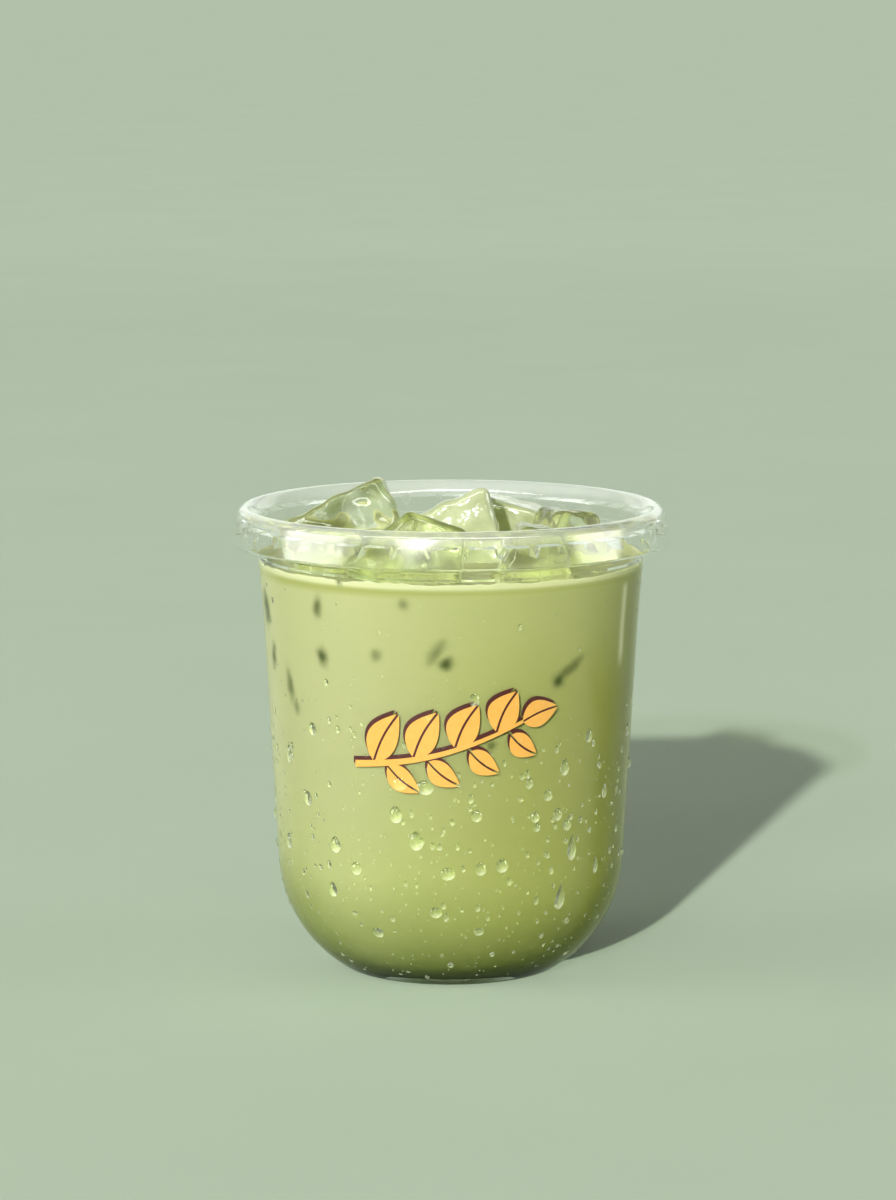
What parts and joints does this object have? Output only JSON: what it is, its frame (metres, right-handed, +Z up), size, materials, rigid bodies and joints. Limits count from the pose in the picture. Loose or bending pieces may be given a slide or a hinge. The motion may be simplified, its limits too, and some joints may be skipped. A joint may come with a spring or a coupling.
{
  "type": "iced matcha latte in a clear cup",
  "caption": "Iced milky green tea in a clear U-shaped plastic cup with a wide skirted rim, its ice standing up to the rim.",
  "frame": {"origin": "centre of the flat foot that the cup stands on", "axes": "+Z up along the cup's axis, -Y towards the printed side, +X to that side's right"},
  "size_m": [0.095, 0.095, 0.1084],
  "materials": {
    "cup_plastic": "clear, polished",
    "latte": "milky liquid, wet",
    "ice": "clear, melted smooth, wet",
    "milky_ice": "ice coated in milky tea, wet",
    "print_orange": "printed ink, satin",
    "print_maroon": "printed ink, satin",
    "water": "clear droplets"
  },
  "bodies": {
    "root": {"cup": "cup_plastic", "latte": "latte", "ice_left": "ice", "ice_front": "ice", "ice_back": "milky_ice", "ice_saddle": "milky_ice", "ice_right": "ice", "ice_corner": "ice"}
  },
  "joints": []
}
